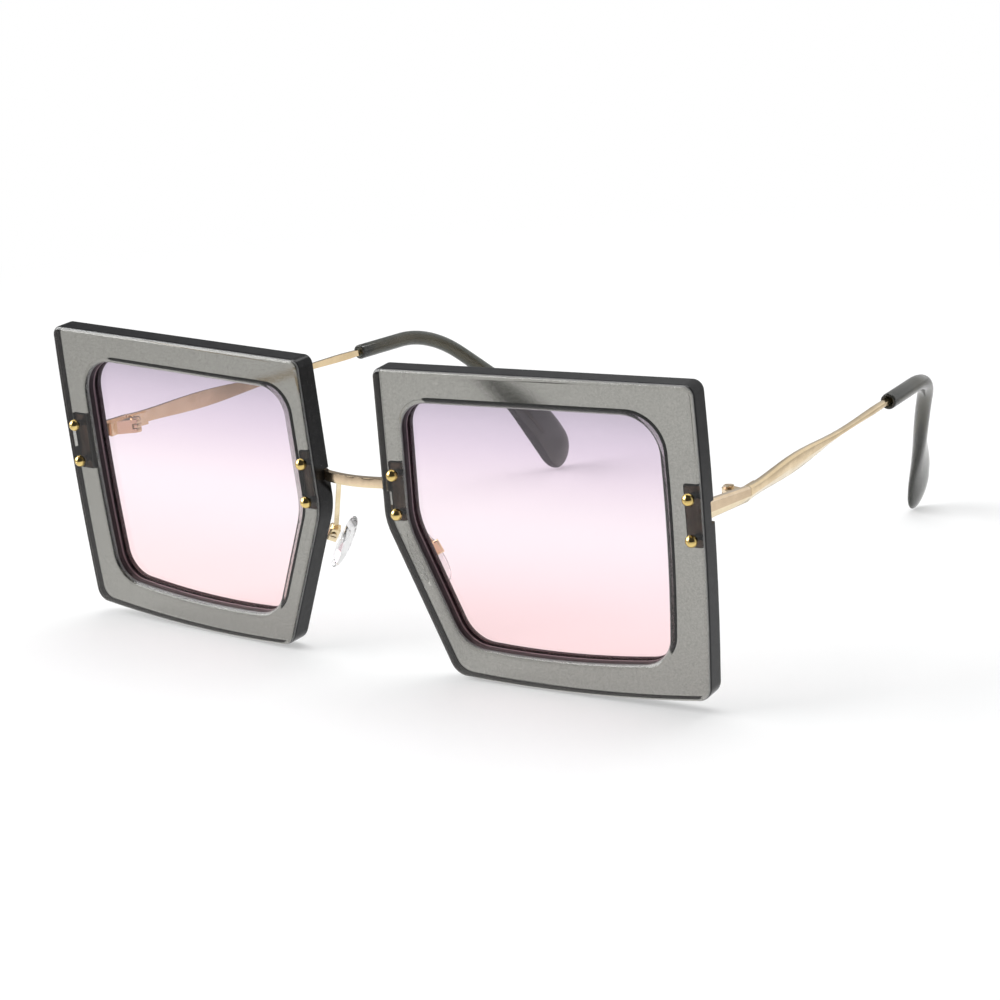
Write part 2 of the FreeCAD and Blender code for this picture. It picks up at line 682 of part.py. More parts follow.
def make_tip_shell(path):
    """Outside of the tip: a round sleeve with its bend, then a tail that flattens into a paddle."""
    sleeve = make_rod("tip_sleeve", path, "tip_diameter", path.origin)
    # share of the tail's length, then how far the section has gone from sleeve to paddle, then its closing
    tail_shares = [(0.00, 0.00, 1.00), (0.14, 0.03, 1.00), (0.28, 0.12, 1.00), (0.42, 0.32, 1.00),
                   (0.56, 0.60, 1.00), (0.70, 0.86, 1.00), (0.82, 1.00, 1.00), (0.90, 1.00, 0.96),
                   (0.95, 1.00, 0.81), (0.98, 1.00, 0.56), (0.995, 1.00, 0.27)]
    sections = []
    for number, (along_share, flat_share, close_share) in enumerate(tail_shares):
        ellipse = doc.addObject("Part::Ellipse", "tip_section_%d" % number)
        size = "(tip_diameter + (%s - tip_diameter) * %g) * %g / 2"
        bind(ellipse, "MajorRadius", size % ("paddle_width", flat_share, close_share))
        bind(ellipse, "MinorRadius", size % ("paddle_thickness", flat_share, close_share))
        forward = path.tail_direction(along_share)
        side = Rotation(forward, value("paddle_twist_angle") * flat_share).multVec(
            forward.cross(Z_AXIS).normalize())
        broad = side.cross(forward)
        middle = path.on_tail(along_share) + broad * value("paddle_offset") * flat_share * close_share
        ellipse.Placement = Placement(middle, Rotation(broad, side, forward, "ZXY"))
        sections.append(ellipse)
    tail = doc.addObject("Part::Loft", "tip_tail")
    tail.Sections = sections
    tail.Solid = True
    tail.Ruled = True
    doc.recompute()
    return fuse("tip_shell", [sleeve, tail])


def make_pad_arm(start, stop):
    """Flat wire from the bridge's back to the pad box: a short lead, a bend, then a straight run down."""
    body = new_body("left_pad_arm")
    flat = Vector(stop.x - start.x, stop.y - start.y, 0)
    reach, drop = flat.Length, start.z - stop.z
    lead, radius = value("arm_lead"), value("arm_bend_radius")
    spine = body.newObject("Sketcher::SketchObject", "arm_spine")
    plane = [feature for feature in body.Origin.OriginFeatures if feature.Role == "XZ_Plane"][0]
    spine.AttachmentSupport = (plane, [""])
    spine.MapMode = "FlatFace"
    slope = math.atan2(drop, reach - lead)
    setback = radius * math.tan(slope / 2)
    bend_in = Vector(lead - setback, 0, 0)
    run = Vector(math.cos(slope), -math.sin(slope), 0)
    bend_out = Vector(lead, 0, 0) + run * setback
    middle = Vector(bend_in.x + radius * math.sin(slope / 2), -radius * (1 - math.cos(slope / 2)), 0)
    spine.addGeometry(Part.LineSegment(Vector(0, 0, 0), bend_in))
    spine.addGeometry(Part.Arc(bend_in, middle, bend_out))
    spine.addGeometry(Part.LineSegment(bend_out, Vector(reach, -drop, 0)))
    profile = new_sketch(body, "arm_profile", "YZ_Plane")
    draw_box(profile, "-arm_width / 2", "-arm_thickness / 2", "arm_width / 2", "arm_thickness / 2")
    doc.recompute()
    pipe = body.newObject("PartDesign::AdditivePipe", "arm_pipe")
    pipe.Profile = profile
    pipe.Spine = spine
    doc.recompute()
    body.Placement = Placement(start, Rotation(X_AXIS, flat))
    return body


def pad_outline():
    """Nose pad seen from the nose: rounded, narrower at the top."""
    half, top_half = "(pad_width / 2)", "(pad_width / 2 - pad_narrowing)"
    high = "pad_length / 2 - pad_width / 2 - pad_drop"
    low = "pad_width / 2 - pad_length / 2 - pad_drop"
    return [("pad_shift - " + top_half, high), ("pad_shift - " + half, low),
            ("pad_shift + " + half, low), ("pad_shift + " + top_half, high)]


def make_nose_pad():
    """Soft clear pad with a hollow for its core."""
    body = new_body("left_nose_pad")
    outline = new_sketch(body, "pad_outline", "XZ_Plane", "pad_thickness / 2")
    draw_outline(outline, pad_outline(),
                 {1: "pad_width / 2 * %g" % ROUND_END_SHARE,
                  3: "(pad_width / 2 - pad_narrowing) * %g" % ROUND_END_SHARE})
    pad = add_pad(body, "pad_block", outline, "pad_thickness", reverse=True)
    face, back = in_depth(-value("pad_thickness / 2")), in_depth(value("pad_thickness / 2"))
    add_fillet(body, "pad_rounding", pad, lambda edge: face(edge) or back(edge), "pad_round")
    hollow = new_sketch(body, "pad_hollow_outline", "XZ_Plane", "core_thickness / 2")
    core_outline(hollow, "stem_clearance")
    add_pocket(body, "pad_hollow", hollow, "core_thickness")
    window = new_sketch(body, "pad_window_box", "XZ_Plane", "-core_thickness / 2")
    stem_box(window, "stem_clearance")
    add_pocket(body, "pad_window", window, "pad_thickness")
    return body


def core_outline(sketch, gap):
    """Long rounded button: a rectangle with two round ends."""
    half_width, half_run = "(core_width / 2 + %s)" % gap, "(core_length / 2 - core_width / 2)"
    draw_outline(sketch, [("-" + half_width, half_run), ("-" + half_width, "-" + half_run),
                          (half_width, "-" + half_run), (half_width, half_run)],
                 {1: "%s * %g" % (half_width, ROUND_END_SHARE), 3: "%s * %g" % (half_width, ROUND_END_SHARE)})


def stem_box(sketch, gap):
    draw_box(sketch, "-stem_width / 2 - %s" % gap, "-stem_height / 2 - %s" % gap,
             "stem_width / 2 + %s" % gap, "stem_height / 2 + %s" % gap)


def make_pad_core():
    """Hard button inside the pad with the stem that goes into the box."""
    body = new_body("left_pad_core")
    button = new_sketch(body, "core_button_outline", "XZ_Plane", "core_thickness / 2")
    core_outline(button, "0")
    add_pad(body, "core_button", button, "core_thickness", reverse=True)
    stem = new_sketch(body, "core_stem_box", "XZ_Plane", "0")
    stem_box(stem, "0")
    add_pad(body, "core_stem", stem, "pad_pivot + stem_end", reverse=True)
    bore = new_sketch(body, "core_bore_circle", "YZ_Plane", "0")
    draw_circle(bore, ("pad_pivot", "0"), "pad_screw + 2 * running_clearance")
    add_pocket(body, "core_bore", bore, "stem_width + overrun", symmetric=True)
    return body


def make_pad_box():
    """Open metal box that holds the pad's stem between its cheeks."""
    body = new_body("left_pad_box")
    front = "(pad_thickness / 2 + box_standoff)"
    outline = new_sketch(body, "box_outline", "XZ_Plane", "-" + front)
    draw_box(outline, "-box_width / 2", "-box_height / 2", "box_width / 2", "box_height / 2")
    block = add_pad(body, "box_block", outline, "box_depth", reverse=True)
    back = value("pad_thickness / 2 + box_standoff + box_depth")
    add_fillet(body, "box_rounding", block, in_depth(back), "box_corner")
    cavity = new_sketch(body, "box_cavity_outline", "XZ_Plane", "-" + front)
    draw_box(cavity, "-stem_width / 2 - stem_clearance", "box_wall - box_height / 2",
             "stem_width / 2 + stem_clearance", "box_height / 2 - box_wall")
    add_pocket(body, "box_cavity", cavity, "box_depth - box_wall")
    bore = new_sketch(body, "box_bore_circle", "YZ_Plane", "0")
    draw_circle(bore, ("pad_pivot", "0"), "pad_screw + 2 * running_clearance")
    add_pocket(body, "box_bore", bore, "box_width + overrun", symmetric=True)
    return body


def fuse(name, pieces):
    whole = doc.addObject("Part::MultiFuse", name)
    whole.Shapes = pieces
    doc.recompute()
    return whole


def mirrored(name, piece):
    """The right-hand copy of a left-hand piece."""
    copy = doc.addObject("Part::Mirroring", name)
    copy.Source = piece
    copy.Normal = X_AXIS
    copy.Base = Vector(0, 0, 0)
    doc.recompute()
    return copy


def group(name, pieces):
    whole = doc.addObject("Part::Compound", name)
    whole.Links = pieces
    doc.recompute()
    return whole


# Front: the rim stands leaning, turned by the wrap, with its lowest point on the table
left_rim = make_rim()
stance = Rotation(X_AXIS, value("lean_angle")) * Rotation(Z_AXIS, value("wrap_angle"))
leaning = left_rim.Shape.copy()
leaning.Placement = Placement(Vector(0, 0, 0), stance)
level = -leaning.optimalBoundingBox(False).ZMin / math.cos(math.radians(value("lean_angle")))
lean = Rotation(X_AXIS, value("lean_angle"))
FRONT = Placement(lean.multVec(Vector(0, 0, level)), lean)
RIM = FRONT * Placement(Vector(value("bridge_half_gap"), 0, 0), Rotation(Z_AXIS, value("wrap_angle")))
left_rim.Placement = RIM
left_lens = make_lens()
left_lens.Placement = RIM

# Bridge with its plates and rivets
strip = make_bridge_strip()
strip.Placement = FRONT
nasal_plate = make_seat_plate("nasal_plate", "nasal")
nasal_plate.Placement = RIM
bridge = fuse("bridge", [strip, nasal_plate, mirrored("right_nasal_plate", nasal_plate)])


def make_rivets(seat):
    rivets = [make_rivet("%s_rivet_%d" % (seat, number), place)
              for number, place in enumerate(rivet_places(seat))]
    for rivet in rivets:
        rivet.Placement = RIM * rivet.Placement
    return rivets


nasal_rivets = make_rivets("nasal")
bridge_rivets = group("bridge_rivets", nasal_rivets + [
    mirrored("right_nasal_rivet_%d" % number, rivet) for number, rivet in enumerate(nasal_rivets)])

# End piece and hinge: the hinge's frame stands along its screw
plate_middle = RIM.multVec(Vector(value("rim_width - rivet_inset"),
                                  value("rim_thickness - recess_depth + plate_thickness / 2"),
                                  value("end_piece_rise")))
HINGE = Placement(plate_middle + Vector(value("bar_offset + bar_flare - pin_inset - bar_thickness / 2"),
                                        value("bar_length - pin_forward"), 0), Rotation())
temple_plate = make_seat_plate("temple_plate", "temple")
temple_plate.Placement = RIM
end_bar = make_end_bar()
end_bar.Placement = HINGE
left_end_piece = fuse("left_end_piece", [temple_plate, end_bar])
left_end_rivets = group("left_end_rivets", make_rivets("temple"))
left_front_leaf = make_front_leaf()
left_front_leaf.Placement = HINGE
left_hinge_screw = make_screw("left_hinge_screw", "XY_Plane", "hinge_screw", "hinge_screw_head",
                              "hinge_screw_cap", "-knuckle_stack / 2", "knuckle_stack", "hinge_slot")
left_hinge_screw.Placement = HINGE

# Temple: toes in from the hinge, its core wire and the sleeve on it
TEMPLE = HINGE * Placement(Vector(0, 0, 0), Rotation(Z_AXIS, value("toe_in_angle")))
left_temple_leaf = make_temple_leaf()
left_temple_leaf.Placement = TEMPLE
path = TipPath(TEMPLE)
core = make_rod("temple_core", path, "core_wire", path.root, [path.tail_edge(value("core_stop + overrun"))])
left_temple = fuse("left_temple", [make_blade(), core])
left_temple.Placement = TEMPLE
left_tip = doc.addObject("Part::Cut", "left_temple_tip")
left_tip.Base = make_tip_shell(path)
left_tip.Tool = make_rod("tip_bore", path, "core_wire + 2 * running_clearance", path.root,
                         [path.tail_edge(value("core_stop"))])
doc.recompute()
left_tip.Placement = TEMPLE

# Nose pad on its arm
pad_attitude = Rotation(Z_AXIS, -value("pad_splay_angle")) * Rotation(X_AXIS, value("pad_tilt_angle"))
PAD = FRONT * Placement(Vector(value("pad_reach"), value("pad_behind"), -value("pad_below")),
                        pad_attitude * Rotation(Y_AXIS, value("pad_roll_angle")))
left_nose_pad = make_nose_pad()
left_pad_core = make_pad_core()
left_pad_box = make_pad_box()
left_pad_screw = make_screw("left_pad_screw", "YZ_Plane", "pad_screw", "pad_screw_head", "pad_screw_cap",
                            "-box_width / 2", "box_width", "pad_screw_cap")
for piece in (left_nose_pad, left_pad_core, left_pad_box):
    piece.Placement = PAD
left_pad_screw.Placement = PAD * Placement(Vector(0, value("pad_pivot"), 0), Rotation())
arm_x = value("bridge_half_gap - arm_root_inset")
strip_back = value("rim_thickness - recess_depth - bridge_set_forward + bridge_thickness - bridge_bow")
strip_rise = value("bridge_bow") * (arm_x / value("bridge_half_gap - bridge_bend_inset")) ** 2
arm_y = strip_back + strip_rise - value("solder_depth")
arm_start = FRONT.multVec(Vector(arm_x, arm_y, value("bridge_rise")))
arm_stop = PAD.multVec(Vector(0, value("pad_pivot"), value("box_height / 2 - solder_depth")))
left_pad_arm = make_pad_arm(arm_start, arm_stop)

# Nodes: the pieces on the middle plane, then each left-hand piece with its mirror image,
# all moved so that the origin lies under the middle of the open glasses
NODES = {"bridge": bridge, "bridge_rivets": bridge_rivets}
LEFT = {"rim": left_rim, "lens": left_lens, "end_piece": left_end_piece, "end_rivets": left_end_rivets,
        "front_hinge_leaf": left_front_leaf, "hinge_screw": left_hinge_screw,
        "temple_hinge_leaf": left_temple_leaf, "temple": left_temple, "temple_tip": left_tip,
        "pad_arm": left_pad_arm, "pad_box": left_pad_box, "pad_screw": left_pad_screw,
        "pad_core": left_pad_core, "nose_pad": left_nose_pad}
front_edge = left_rim.Shape.optimalBoundingBox(False).YMin
back_edge = left_tip.Shape.optimalBoundingBox(False).YMax
MIDDLE = Placement(Vector(0, -(front_edge + back_edge) / 2, 0), Rotation())
for piece in (*NODES.values(), *LEFT.values()):
    piece.Placement = MIDDLE * piece.Placement
doc.recompute()
for part_name, piece in LEFT.items():
    NODES["left_" + part_name] = piece
    NODES["right_" + part_name] = mirrored("right_" + part_name, piece)

# Every object has to have come out sound before anything is written
doc.recompute()
for thing in doc.Objects:
    if {"Invalid", "Error"} & set(thing.State):
        raise ValueError("%s failed: %s" % (thing.Name, thing.State))
for node, piece in NODES.items():
    piece.Label = node
    if piece.Shape.isNull() or not piece.Shape.isValid() or not piece.Shape.Solids:
        raise ValueError(node + " has no sound solid")
for node, piece in NODES.items():
    piece.Shape.exportStep("parts/%s.step" % node)
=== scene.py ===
"""Looks of the oversized sunglasses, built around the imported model.

Lengths are in metres unless a comment says millimetres. +Z is up, and the lenses face -Y.
"""
import json
import math
import bpy
from mathutils import Matrix, Vector


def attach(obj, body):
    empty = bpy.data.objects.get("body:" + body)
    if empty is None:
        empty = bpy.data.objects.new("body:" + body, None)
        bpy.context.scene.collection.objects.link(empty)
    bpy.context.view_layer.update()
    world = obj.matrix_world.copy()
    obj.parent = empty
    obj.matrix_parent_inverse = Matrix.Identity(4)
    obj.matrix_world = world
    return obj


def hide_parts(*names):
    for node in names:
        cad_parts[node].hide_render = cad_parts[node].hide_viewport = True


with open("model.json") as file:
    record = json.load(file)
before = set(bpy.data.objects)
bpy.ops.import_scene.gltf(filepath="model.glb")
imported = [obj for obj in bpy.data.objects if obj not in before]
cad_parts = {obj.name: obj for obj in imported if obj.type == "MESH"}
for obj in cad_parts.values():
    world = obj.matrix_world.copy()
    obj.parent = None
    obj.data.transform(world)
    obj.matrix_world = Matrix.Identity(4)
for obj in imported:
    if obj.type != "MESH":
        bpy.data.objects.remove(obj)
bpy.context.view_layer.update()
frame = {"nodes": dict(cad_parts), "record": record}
NODES = frame["nodes"]
SIDES = ("left", "right")
scene = bpy.context.scene
scene.view_settings.view_transform = "Standard"

# Camera at the photograph's viewing angle; the sensor is in millimetres
CAMERA_PLACE = (0.30780, -0.45797, 0.16720)
CAMERA_RIGHT = (0.823539, 0.564420, -0.056698)
CAMERA_UP = (-0.105062, 0.249984, 0.962533)
FOCAL_PIXELS = 2701.4
IMAGE_PIXELS = 1000.0
SENSOR_WIDTH = 36.0
NEAR_CLIP, FAR_CLIP = 0.02, 50.0


def make_camera():
    """Camera placed by its own right and up directions."""
    optics = bpy.data.cameras.new("camera")
    optics.sensor_width = SENSOR_WIDTH
    optics.lens = SENSOR_WIDTH * FOCAL_PIXELS / IMAGE_PIXELS
    optics.clip_start, optics.clip_end = NEAR_CLIP, FAR_CLIP
    camera = bpy.data.objects.new("camera", optics)
    right, up = Vector(CAMERA_RIGHT), Vector(CAMERA_UP)
    turn = Matrix((right, up, right.cross(up))).transposed().to_4x4()
    camera.matrix_world = Matrix.Translation(CAMERA_PLACE) @ turn
    scene.collection.objects.link(camera)
    scene.camera = camera


make_camera()


# Materials
# Front plane of the rims, for either side: unit normal and offset
RIM_NORMAL = (0.0593, -0.99535, -0.0759)
RIM_OFFSET = -0.070387
# Middle of a rim, across and up, and half the change from walls that face it to those that do not
RIM_MIDDLE = (0.0415, 0.0300)
WALL_CHANGE = 0.002
# Depths behind the front plane: floor of the milled recesses, and the walls round a lens that
# carry painted shade and a painted highlight line
RECESS_FLOOR = 0.0038
LENS_WALL_SHADE_DEPTH = 0.005
# Where the plates go from gold to painted brown shade, by depth and by distance from the middle
# plane
RIM_SHADE_DEPTH = (0.0040, 0.0037)
RIM_SHADE_ASIDE = (0.0080, 0.0086)

WHITE = (1.0, 1.0, 1.0, 1.0)
# Painted shade: near-black and dark grey for the edge walls and recess floors of the clear
# plastic
EDGE_SHADE_BLACK = (0.004, 0.004, 0.005)
EDGE_SHADE_GREY = (0.014, 0.014, 0.015)
# Painted shade and a painted highlight line for the walls round a lens, from front to back
WALL_MAROON_SHADE = (0.030, 0.020, 0.023)
WALL_PAINTED_HIGHLIGHT = (0.30, 0.22, 0.24)
WALL_BACK_SHADE = (0.030, 0.012, 0.016)
# Painted shade: near-black for a lens's ground edge, which sits in the rim's groove
LENS_EDGE_SHADE = (0.055, 0.040, 0.050, 1.0)
# Tint of a lens from its foot to its top
LENS_TINT = (
    (0.02, (1.0, 0.735, 0.745)), (0.22, (1.0, 0.76, 0.785)), (0.40, (0.975, 0.81, 0.86)),
    (0.54, (0.945, 0.835, 0.89)), (0.66, (0.89, 0.765, 0.84)), (0.79, (0.755, 0.64, 0.75)),
    (0.91, (0.63, 0.54, 0.655)), (1.00, (0.47, 0.415, 0.495)),
)
# Painted highlight: the paler gold, darker and lighter, of the lower bevels
BEVEL_HIGHLIGHT_GOLD = ((0.79, 0.65, 0.42), (0.86, 0.73, 0.50))


class Tree:
    """Node tree of a material or a world, with short ways to add and join nodes."""

    def __init__(self, owner):
        owner.use_nodes = True
        self.owner = owner
        self.nodes, self.links = owner.node_tree.nodes, owner.node_tree.links

    def add(self, kind, sockets=None, **fields):
        """New node with its fields set and its sockets filled."""
        node = self.nodes.new("ShaderNode" + kind)
        for key, setting in fields.items():
            setattr(node, key, setting)
        for key, setting in (sockets or {}).items():
            self.put(node, key, setting)
        return node

    def put(self, node, key, setting):
        """Give a socket a constant, or link it when the setting is another node's output."""
        if isinstance(setting, bpy.types.NodeSocket):
            self.links.new(setting, node.inputs[key])
        else:
            node.inputs[key].default_value = setting

    def shade(self, **settings):
        """Fill the sockets of the main shader; an underscore stands for a space."""
        for key, setting in settings.items():
            self.put(self.nodes["Principled BSDF"], key.replace("_", " "), setting)

    def absorb(self, colour, density):
        """Let a clear piece swallow light with depth."""
        volume = self.add("VolumeAbsorption", {"Color": (*colour, 1.0), "Density": density})
        self.put(self.nodes["Material Output"], "Volume", volume.outputs["Volume"])

    def place(self):
        return self.add("TexCoord").outputs["Object"]

    def normal(self):
        return self.add("TexCoord").outputs["Normal"]

    def split(self, vector):
        """Outputs X, Y and Z of a vector."""
        return self.add("SeparateXYZ", {"Vector": vector}).outputs

    def dot(self, vector, axis):
        return self.add("VectorMath", {0: vector, 1: axis},
                        operation="DOT_PRODUCT").outputs["Value"]

    def math(self, operation, *values, clamp=False):
        return self.add("Math", dict(enumerate(values)), operation=operation,
                        use_clamp=clamp).outputs["Value"]

    def remap(self, factor, start, end, low=0.0, high=1.0, curve="LINEAR"):
        """Take start to low and end to high, and hold both beyond."""
        return self.add("MapRange", {"Value": factor, "From Min": start, "From Max": end,
                                     "To Min": low, "To Max": high},
                        interpolation_type=curve).outputs["Result"]

    def span(self, factor, low, high):
        """Take 0 to low and 1 to high."""
        return self.remap(factor, 0.0, 1.0, low, high)

    def mix(self, factor, low, high):
        """Number between two numbers."""
        return self.add("Mix", {"Factor": factor, 2: low, 3: high}).outputs["Result"]

    def blend(self, factor, low, high):
        """Colour between two colours."""
        return self.add("Mix", {"Factor": factor, 6: low, 7: high}, data_type="RGBA").outputs[2]

    def ramp(self, factor, stops, curve="LINEAR"):
        """Colour from a row of stops, each a position and a colour."""
        node = self.add("ValToRGB", {"Fac": factor})
        node.color_ramp.interpolation = curve
        stripe = node.color_ramp.elements
        while len(stripe) < len(stops):
            stripe.new(1.0)
        for element, (position, colour) in zip(stripe, stops):
            element.position = position
            element.color = (*colour, 1.0)
        return node.outputs["Color"]

    def noise(self, scale, detail=3.0, stretch=None):
        place = self.place()
        if stretch:
            place = self.add("Mapping", {"Vector": place, "Scale": stretch}).outputs["Vector"]
        return self.add("TexNoise", {"Vector": place, "Scale": scale,
                                     "Detail": detail}).outputs["Fac"]

    def bump(self, height, strength, distance):
        return self.add("Bump", {"Height": height, "Strength": strength,
                                 "Distance": distance}).outputs["Normal"]

    def facing(self):
        """How squarely a surface lies to the rims' front planes, from 0 to 1."""
        return self.math("ABSOLUTE", self.dot(self.normal(), (0.0, *RIM_NORMAL[1:])))

    def aside_and_depth(self):
        """Distance from the middle plane, and depth behind the front plane of that side's rim."""
        place = self.split(self.place())
        aside = self.math("ABSOLUTE", place["X"])
        depth = self.math("MULTIPLY_ADD", aside, -RIM_NORMAL[0], -RIM_OFFSET)
        depth = self.math("MULTIPLY_ADD", place["Y"], -RIM_NORMAL[1], depth)
        return aside, self.math("MULTIPLY_ADD", place["Z"], -RIM_NORMAL[2], depth)

    def inward(self):
        """1 on the walls that face the middle of their rim, 0 on those that face away from it."""
        place, lean = self.split(self.place()), self.split(self.normal())
        aside = self.math("SUBTRACT", self.math("ABSOLUTE", place["X"]), RIM_MIDDLE[0])
        outward = self.math("MULTIPLY", lean["X"], self.math("SIGN", place["X"]))
        above = self.math("SUBTRACT", place["Z"], RIM_MIDDLE[1])
        away = self.math("MULTIPLY_ADD", above, lean["Z"], self.math("MULTIPLY", aside, outward))
        return self.remap(away, start=WALL_CHANGE, end=-WALL_CHANGE)


def make_rim_material():
    """Clear grey sheet plastic: polished faces to see through, and edge walls painted near-black
    as shade, standing in for light lost inside the plastic.

    The floors of the recesses are ground and painted dark like the walls. The walls round a lens
    carry painted maroon shade with one painted highlight line.
    """
    tree = Tree(bpy.data.materials.new("smoke_plastic"))
    depth = tree.aside_and_depth()[1]
    # The recess floors count as walls, so they too take the painted shade
    off_floor = tree.math("ABSOLUTE", tree.math("SUBTRACT", depth, RECESS_FLOOR))
    face = tree.math("MULTIPLY",
                     tree.remap(tree.facing(), start=0.30, end=0.86, curve="SMOOTHSTEP"),
                     tree.remap(off_floor, start=0.0002, end=0.0003))
    speckle = tree.noise(scale=3000.0, detail=2.0)
    clear = tree.ramp(speckle, [(0.34, (0.80, 0.80, 0.79)), (0.62, (1.0, 1.0, 0.99))])
    # Painted shade: edge walls turn opaque and near-black, where the real clear plastic only
    # looks dark
    painted_dark_edge = tree.ramp(tree.noise(scale=700.0), [(0.35, EDGE_SHADE_BLACK), (0.70, EDGE_SHADE_GREY)])
    # Painted shade on the walls round a lens: black at the front, maroon, one light painted
    # highlight line, dark at the back
    painted_lens_wall = tree.ramp(tree.remap(depth, start=0.0, end=LENS_WALL_SHADE_DEPTH), [
        (0.04, EDGE_SHADE_BLACK), (0.09, WALL_MAROON_SHADE), (0.35, WALL_MAROON_SHADE),
        (0.39, WALL_PAINTED_HIGHLIGHT), (0.43, WALL_PAINTED_HIGHLIGHT), (0.47, WALL_BACK_SHADE)])
    inner = tree.inward()
    from_inside = tree.add("NewGeometry").outputs["Backfacing"]
    outer_from_inside = tree.math("SUBTRACT", from_inside, inner)
    wall_rough = tree.math("MAXIMUM", tree.span(inner, low=0.22, high=0.42),
                           tree.span(outer_from_inside, low=0.0, high=0.95))
    face_rough = tree.span(speckle, low=0.07, high=0.13)
    tree.shade(Base_Color=tree.blend(face, tree.blend(inner, painted_dark_edge, painted_lens_wall), clear),
               Roughness=tree.mix(face, wall_rough, face_rough), IOR=1.49,
               Specular_IOR_Level=0.2, Transmission_Weight=tree.span(face, low=0.04, high=1.0),
               Coat_Weight=tree.span(face, low=0.0, high=0.05), Coat_Roughness=0.03,
               Normal=tree.bump(tree.noise(scale=220.0), strength=0.02, distance=0.0002))
    tree.absorb(colour=(0.42, 0.41, 0.375), density=350.0)
    return tree.owner


def make_lens_material():
    """Flat tinted lens: lilac at the top, palest in the middle, pink at the foot, ground edge
    painted near-black as the shade in the rim's groove.
    """
    tree = Tree(bpy.data.materials.new("gradient_lens"))
    height = tree.split(tree.add("TexCoord").outputs["Generated"])["Z"]
    cloud = tree.noise(scale=60.0, detail=2.0)
    cloud_drift = 0.03
    tint = tree.ramp(tree.math("MULTIPLY_ADD", cloud, cloud_drift, height), LENS_TINT, "B_SPLINE")
    face = tree.remap(tree.facing(), start=0.55, end=0.85)
    edge_rough = 0.45
    # Painted shade: the lens's edge is near-black
    tree.shade(Base_Color=tree.blend(face, LENS_EDGE_SHADE, tint),
               Roughness=tree.mix(face, edge_rough, tree.span(cloud, low=0.0, high=0.02)),
               IOR=1.5, Transmission_Weight=face)
    return tree.owner


def make_tip_material():
    """Smoky moulded plastic that lets a little light through, soft in its reflections."""
    tree = Tree(bpy.data.materials.new("tip_plastic"))
    cloud = tree.noise(scale=180.0)
    smoky = tree.ramp(cloud, [(0.3, (0.20, 0.205, 0.175)), (0.7, (0.30, 0.305, 0.265))])
    tree.shade(Base_Color=smoky, Roughness=tree.span(cloud, low=0.09, high=0.15), IOR=1.49,
               Specular_IOR_Level=0.15, Transmission_Weight=0.88,
               Coat_Weight=0.05, Coat_Roughness=0.05,
               Normal=tree.bump(tree.noise(scale=300.0), strength=0.02, distance=0.0001))
    tree.absorb(colour=(0.30, 0.31, 0.28), density=820.0)
    return tree.owner


def make_pad_material(name, low_tint, density, ior):
    """Clear moulded plastic or silicone that swallows light with depth, with faint flow marks."""
    tree = Tree(bpy.data.materials.new(name))
    cloud = tree.noise(scale=900.0)
    tree.shade(Base_Color=tree.ramp(cloud, [(0.3, low_tint), (0.7, WHITE[:3])]),
               Roughness=tree.span(cloud, low=0.05, high=0.09), IOR=ior, Transmission_Weight=1.0,
               Normal=tree.bump(tree.noise(scale=112.5), strength=0.03, distance=0.0002))
    tree.absorb(colour=(0.50, 0.50, 0.50), density=density)
    return tree.owner


def make_gold_material(name, dark, light, rough, bevel_highlight=None, rim_shade=False):
    """Finely brushed pale gold plate with faint stains.

    Paler gold goes on the lower bevels as a painted highlight, and plates are painted brown as
    shade where they lie in a rim.
    """
    tree = Tree(bpy.data.materials.new(name))
    stains = tree.noise(scale=260.0, detail=4.0)
    brush = tree.noise(scale=9000.0, detail=2.0, stretch=(1.0, 0.06, 1.0))
    highlight_dark, highlight_light = bevel_highlight or (dark, light)
    # Painted highlight: faces that lean downward take the paler bevel gold
    bevel = tree.remap(tree.split(tree.normal())["Z"], start=-0.15, end=-0.35)
    colour = tree.blend(bevel, tree.ramp(stains, [(0.35, dark), (0.65, light)]),
                        tree.ramp(stains, [(0.35, highlight_dark), (0.65, highlight_light)]))
    # Painted shade: plates turn brown where they lie inside a rim, where little light reaches
    # them
    if rim_shade:
        aside, depth = tree.aside_and_depth()
        in_rim = tree.math("MULTIPLY", tree.remap(depth, *RIM_SHADE_DEPTH),
                           tree.remap(aside, *RIM_SHADE_ASIDE))
        shade_brown = tree.ramp(stains, [(0.3, (0.12, 0.075, 0.060)), (0.7, (0.36, 0.235, 0.195))])
        colour = tree.blend(in_rim, colour, shade_brown)
    tree.shade(Base_Color=colour, Metallic=1.0, Roughness=tree.span(brush, *rough),
               Normal=tree.bump(brush, strength=0.05, distance=0.00002))
    return tree.owner


# Gold with painted shade where the plates lie in a rim
rim_shaded_gold = make_gold_material("gold_rim_shaded", dark=(0.74, 0.57, 0.39), light=(0.84, 0.66, 0.46),
                                rough=(0.10, 0.22), bevel_highlight=BEVEL_HIGHLIGHT_GOLD, rim_shade=True)
rivet_gold = make_gold_material("rivet_gold", dark=(0.76, 0.55, 0.20), light=(0.84, 0.64, 0.26),
                                rough=(0.05, 0.12))
